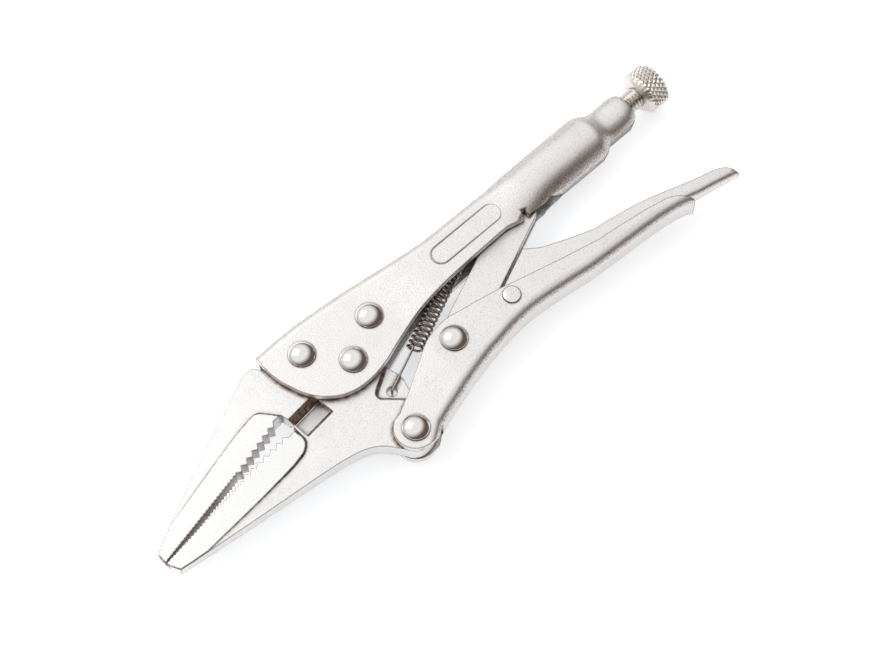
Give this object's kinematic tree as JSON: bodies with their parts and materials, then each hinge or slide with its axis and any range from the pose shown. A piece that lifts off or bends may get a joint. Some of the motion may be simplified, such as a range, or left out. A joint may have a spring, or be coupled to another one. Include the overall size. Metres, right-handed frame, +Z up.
{
  "type": "locking pliers",
  "caption": "Long-nose locking pliers in satin nickel: riveted serrated jaws with wire cutter, over-centre link, release lever, tension spring and knurled adjusting screw.",
  "frame": {"origin": "centre of the tool's bounding box on x and y, on the surface it lies on", "axes": "+X from the jaw tips to the adjusting knob, along the screw; +Y from the lower handle to the upper handle; +Z up, along every rivet"},
  "size_m": [0.229, 0.0592, 0.0184],
  "materials": {
    "sheet": "satin nickel plate on pressed steel sheet",
    "forging": "satin nickel plate on forged steel",
    "rivet": "bright nickel",
    "screw": "machined and nickel plated",
    "spring": "oiled spring wire"
  },
  "bodies": {
    "frame": {"upper_handle": "sheet", "fixed_jaw": "forging", "front_jaw_rivet": "rivet", "rear_jaw_rivet": "rivet", "jaw_pivot_rivet": "rivet", "tension_spring": "spring"},
    "jaw": {"lower_jaw": "forging"},
    "grip": {"lower_handle": "sheet", "handle_pivot_rivet": "rivet", "link_pivot_rivet": "rivet", "lever_rivet": "rivet"},
    "link": {"toggle_link": "sheet"},
    "lever": {"release_lever": "sheet"},
    "screw": {"adjusting_screw": "screw"},
    "knob": {"knurled_knob": "screw"}
  },
  "joints": [
    {"name": "jaw_hinge", "type": "hinge", "parent": "frame", "child": "jaw", "pos_m": [-0.02945, 0.00734, 0.0092], "axis": [0, 0, 1], "range_deg": [0, 14.4], "deforming": ["tension_spring"]},
    {"name": "handle_hinge", "type": "hinge", "parent": "jaw", "child": "grip", "pos_m": [-0.03035, -0.02266, 0.0092], "axis": [0, 0, 1], "range_deg": [-48, 0]},
    {"name": "link_hinge", "type": "hinge", "parent": "grip", "child": "link", "pos_m": [-0.00145, -0.00876, 0.0092], "axis": [0, 0, 1], "range_deg": [0, 53.76]},
    {"name": "lever_hinge", "type": "hinge", "parent": "grip", "child": "lever", "pos_m": [0.02215, -0.01006, 0.0092], "axis": [0, 0, 1], "range_deg": [0, 2.8]},
    {"name": "screw_travel", "type": "slide", "parent": "frame", "child": "screw", "axis": [1, 0, 0], "range_m": [0, 0.0075]},
    {"name": "knob_turn", "type": "hinge", "parent": "screw", "child": "knob", "pos_m": [0.10485, 0.01694, 0.0092], "axis": [1, 0, 0], "range_deg": [0, 2160]}
  ],
  "couplings": [
    {"joint": "jaw_hinge", "follows": "handle_hinge", "ratio": -0.3},
    {"joint": "link_hinge", "follows": "handle_hinge", "ratio": -1.12},
    {"joint": "knob_turn", "follows": "screw_travel", "rad_per_m": 5026.5}
  ]
}
